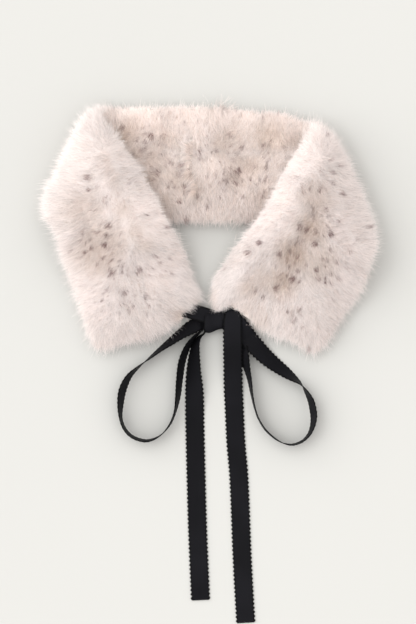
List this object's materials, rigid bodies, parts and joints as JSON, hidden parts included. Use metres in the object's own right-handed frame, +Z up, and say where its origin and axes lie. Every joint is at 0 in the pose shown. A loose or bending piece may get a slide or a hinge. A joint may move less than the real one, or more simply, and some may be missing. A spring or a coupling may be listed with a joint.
{
  "type": "fur collar wrap",
  "caption": "Fur collar laid flat, folded forward at both shoulders, with ribbons tied in a bow at the front.",
  "frame": {"origin": "on the surface the collar lies on, under the middle of its footprint", "axes": "+X to the right, +Y from the ribbon ends to the back of the collar, +Z up from the surface"},
  "size_m": [0.345, 0.5438, 0.0591],
  "materials": {
    "outer_fur": "cream long-pile fur with grey-brown flecks",
    "neck_fur": "cream long-pile fur with grey-brown flecks",
    "ribbon": "black satin ribbon with picot edges"
  },
  "bodies": {
    "root": {"outer_fur_panel": "outer_fur", "neck_fur_panel": "neck_fur", "bow_knot": "ribbon", "bow_loop_left": "ribbon", "bow_loop_right": "ribbon", "ribbon_tail_left": "ribbon", "ribbon_tail_right": "ribbon", "ribbon_stub_left": "ribbon", "ribbon_stub_right": "ribbon"}
  },
  "joints": []
}
